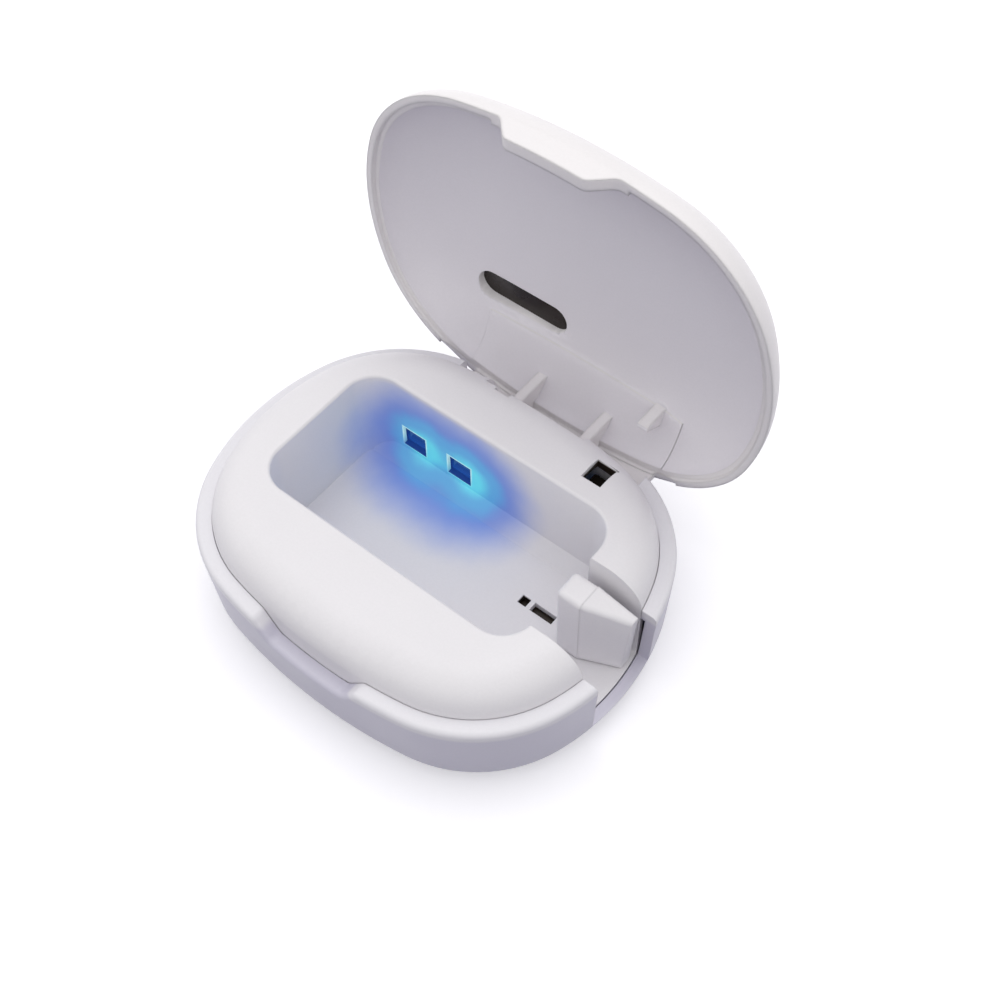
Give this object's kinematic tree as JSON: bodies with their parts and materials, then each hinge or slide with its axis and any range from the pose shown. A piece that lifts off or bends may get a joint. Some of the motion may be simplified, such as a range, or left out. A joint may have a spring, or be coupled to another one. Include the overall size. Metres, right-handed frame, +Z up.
{
  "type": "uv toothbrush sterilizer",
  "caption": "Oval pocket case with an open chamber and ultraviolet lamps behind it, a domed lid on a rear hinge and a sprung gate in its side slot.",
  "frame": {"origin": "under the centre of the case, on the plane of its four feet", "axes": "+X along the long axis towards the exit slot, +Y towards the hinge, +Z up"},
  "size_m": [0.084, 0.0782, 0.0789],
  "materials": {
    "case_white": "satin moulded plastic",
    "deck_white": "satin moulded plastic",
    "lid_white": "satin moulded plastic, glossier outside",
    "smoked_window": "dark smoked gloss",
    "gate_white": "satin moulded plastic",
    "pin_steel": "ground steel pin",
    "spring_steel": "bright spring wire",
    "switch_black": "dark moulded",
    "plunger_dark": "dark brown moulded",
    "lamp_glass": "clear lamp window",
    "lamp_chip": "ceramic lamp package",
    "board_white": "white solder mask",
    "board_green": "green solder mask",
    "screw_steel": "zinc plated",
    "socket_steel": "plated shell",
    "cell_wrap": "foil pouch",
    "pad_foam": "foam tape",
    "plug_silicone": "soft silicone"
  },
  "bodies": {
    "base": {"base_shell": "case_white", "inner_deck": "deck_white", "uv_window_left": "lamp_glass", "uv_window_right": "lamp_glass", "uv_led_left": "lamp_chip", "uv_led_right": "lamp_chip", "led_board": "board_white", "main_board": "board_green", "board_screws": "screw_steel", "charging_socket": "socket_steel", "battery_cell": "cell_wrap", "cell_pad": "pad_foam", "case_screws": "screw_steel", "screw_plugs": "plug_silicone", "switch_body": "switch_black", "hinge_pin": "pin_steel", "gate_spring_lower": "spring_steel", "gate_spring_upper": "spring_steel", "lamp_board_screw": "screw_steel"},
    "lid": {"lid_shell": "lid_white", "lid_window": "smoked_window"},
    "gate": {"neck_gate": "gate_white", "gate_pin_lower": "pin_steel", "gate_pin_upper": "pin_steel"},
    "plunger": {"switch_plunger": "plunger_dark"}
  },
  "joints": [
    {"name": "lid_hinge", "type": "hinge", "parent": "base", "child": "lid", "pos_m": [0.0015, 0.0302, 0.0149], "axis": [1, 0, 0], "range_deg": [0, 90]},
    {"name": "gate_slide", "type": "slide", "parent": "base", "child": "gate", "axis": [0, 1, 0], "range_m": [-0.00855, 0.0015], "stiffness_N_per_m": 60, "springref_m": -0.0105, "deforming": ["gate_spring_lower", "gate_spring_upper"]},
    {"name": "switch_press", "type": "slide", "parent": "base", "child": "plunger", "axis": [0, 0, -1], "range_m": [0, 0.0005], "stiffness_N_per_m": 300, "springref_m": -0.0005}
  ]
}
